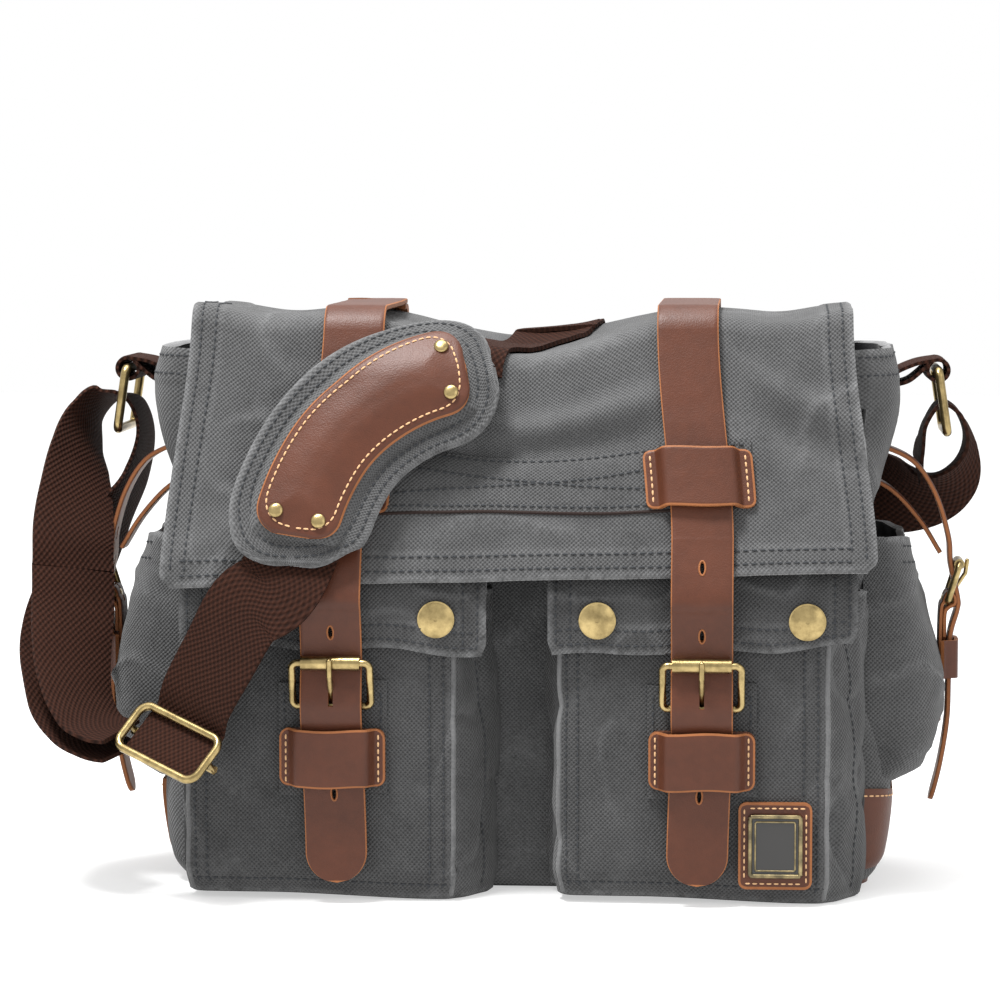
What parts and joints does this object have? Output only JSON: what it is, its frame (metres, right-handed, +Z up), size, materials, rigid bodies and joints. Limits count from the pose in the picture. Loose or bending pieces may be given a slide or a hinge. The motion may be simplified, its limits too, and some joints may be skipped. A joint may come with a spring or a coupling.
{
  "type": "camera bag",
  "caption": "Canvas messenger camera bag with strapped flap, front and side pockets, padded insert with sliding dividers and a draped shoulder strap.",
  "frame": {"origin": "centre of the main compartment's base, on the surface the bag stands on", "axes": "+X to the right seen from the front and along the bag's length, -Y out of the front pockets, +Z up"},
  "size_m": [0.4222, 0.1898, 0.2515],
  "materials": {
    "canvas": "matte grey waxed canvas",
    "leather": "satin red-brown leather with tan edges",
    "lining": "matte dark padded lining",
    "webbing": "dark brown cotton webbing",
    "antique_brass": "antique brass",
    "magnet_steel": "brushed",
    "badge_metal": "antique brass with a dark field"
  },
  "bodies": {
    "bag_body": {"body_shell": "canvas", "leather_corners": "leather", "camera_insert": "lining", "left_pocket": "canvas", "right_pocket": "canvas", "snap_studs": "antique_brass", "buckle_patches": "canvas", "pocket_magnets": "magnet_steel", "left_side_pocket": "canvas", "right_side_pocket": "canvas", "side_straps": "leather", "side_tabs": "leather", "side_frames": "antique_brass", "strap_anchors": "leather", "back_pocket": "canvas", "zip_tape": "lining", "ring_tabs": "webbing", "badge_patch": "leather", "badge_plate": "badge_metal", "web_loop": "webbing", "web_back": "webbing"},
    "divider_left": {"divider_left": "lining"},
    "divider_right": {"divider_right": "lining"},
    "left_pocket_flap": {"left_pocket_flap": "canvas", "left_snap_caps": "antique_brass"},
    "right_pocket_flap": {"right_pocket_flap": "canvas", "right_snap_caps": "antique_brass"},
    "left_side_roller": {"left_side_roller": "antique_brass"},
    "right_side_roller": {"right_side_roller": "antique_brass"},
    "left_side_prong": {"left_side_prong": "antique_brass"},
    "right_side_prong": {"right_side_prong": "antique_brass"},
    "zip_slider": {"zip_slider": "antique_brass"},
    "zip_pull": {"zip_pull": "antique_brass"},
    "left_ring": {"left_ring": "antique_brass"},
    "right_ring": {"right_ring": "antique_brass"},
    "flap_top": {"flap_top": "canvas", "left_strap_top": "leather", "right_strap_top": "leather", "web_top": "webbing"},
    "flap_front": {"flap_front": "canvas", "flap_band": "canvas", "flap_loops": "leather", "left_strap_front": "leather", "right_strap_front": "leather", "left_buckle_tab": "leather", "right_buckle_tab": "leather", "tab_magnets": "magnet_steel", "left_buckle_frame": "antique_brass", "right_buckle_frame": "antique_brass", "shoulder_pad": "canvas", "pad_leather": "leather", "pad_rivets": "antique_brass", "web_front": "webbing", "strap_slider": "antique_brass"},
    "left_roller": {"left_roller": "antique_brass"},
    "right_roller": {"right_roller": "antique_brass"},
    "left_prong": {"left_prong": "antique_brass"},
    "right_prong": {"right_prong": "antique_brass"}
  },
  "joints": [
    {"name": "flap_lift", "type": "hinge", "parent": "bag_body", "child": "flap_top", "pos_m": [0, 0.05, 0.247], "axis": [-1, 0, 0], "range_deg": [0, 95], "deforming": ["web_loop", "web_back"]},
    {"name": "flap_fold", "type": "hinge", "parent": "flap_top", "child": "flap_front", "pos_m": [0, -0.054, 0.247], "axis": [-1, 0, 0], "range_deg": [0, 75]},
    {"name": "left_pocket_flap_hinge", "type": "hinge", "parent": "bag_body", "child": "left_pocket_flap", "pos_m": [-0.078, -0.0522, 0.15], "axis": [-1, 0, 0], "range_deg": [0, 60]},
    {"name": "right_pocket_flap_hinge", "type": "hinge", "parent": "bag_body", "child": "right_pocket_flap", "pos_m": [0.078, -0.0522, 0.15], "axis": [-1, 0, 0], "range_deg": [0, 60]},
    {"name": "divider_left_slide", "type": "slide", "parent": "bag_body", "child": "divider_left", "axis": [1, 0, 0], "range_m": [-0.03, 0.03]},
    {"name": "divider_right_slide", "type": "slide", "parent": "bag_body", "child": "divider_right", "axis": [1, 0, 0], "range_m": [-0.03, 0.03]},
    {"name": "zip_run", "type": "slide", "parent": "bag_body", "child": "zip_slider", "axis": [1, 0, 0], "range_m": [0, 0.2]},
    {"name": "zip_pull_swing", "type": "hinge", "parent": "zip_slider", "child": "zip_pull", "pos_m": [-0.104, 0.056, 0.135], "axis": [1, 0, 0], "range_deg": [0, 85]},
    {"name": "left_ring_swing", "type": "hinge", "parent": "bag_body", "child": "left_ring", "pos_m": [-0.18, 0.027, 0.222], "axis": [0, 1, 0], "range_deg": [-8, 8]},
    {"name": "right_ring_swing", "type": "hinge", "parent": "bag_body", "child": "right_ring", "pos_m": [0.18, 0.027, 0.222], "axis": [0, 1, 0], "range_deg": [-8, 8]},
    {"name": "left_roller_spin", "type": "hinge", "parent": "flap_front", "child": "left_roller", "pos_m": [-0.078, -0.0946, 0.103], "axis": [1, 0, 0], "continuous": true},
    {"name": "left_prong_lift", "type": "hinge", "parent": "flap_front", "child": "left_prong", "pos_m": [-0.078, -0.0876, 0.084], "axis": [1, 0, 0], "range_deg": [0, 12]},
    {"name": "left_side_roller_spin", "type": "hinge", "parent": "bag_body", "child": "left_side_roller", "pos_m": [-0.1892, 0, 0.138], "axis": [0, 1, 0], "continuous": true},
    {"name": "left_side_prong_lift", "type": "hinge", "parent": "bag_body", "child": "left_side_prong", "pos_m": [-0.1842, 0, 0.122], "axis": [0, -1, 0], "range_deg": [0, 10]},
    {"name": "right_roller_spin", "type": "hinge", "parent": "flap_front", "child": "right_roller", "pos_m": [0.078, -0.0946, 0.103], "axis": [1, 0, 0], "continuous": true},
    {"name": "right_prong_lift", "type": "hinge", "parent": "flap_front", "child": "right_prong", "pos_m": [0.078, -0.0876, 0.084], "axis": [1, 0, 0], "range_deg": [0, 12]},
    {"name": "right_side_roller_spin", "type": "hinge", "parent": "bag_body", "child": "right_side_roller", "pos_m": [0.1892, 0, 0.138], "axis": [0, 1, 0], "continuous": true},
    {"name": "right_side_prong_lift", "type": "hinge", "parent": "bag_body", "child": "right_side_prong", "pos_m": [0.1842, 0, 0.122], "axis": [0, 1, 0], "range_deg": [0, 10]}
  ],
  "couplings": [
    {"joint": "left_pocket_flap_hinge", "follows": "flap_fold", "ratio": 0.8},
    {"joint": "right_pocket_flap_hinge", "follows": "flap_fold", "ratio": 0.8}
  ]
}
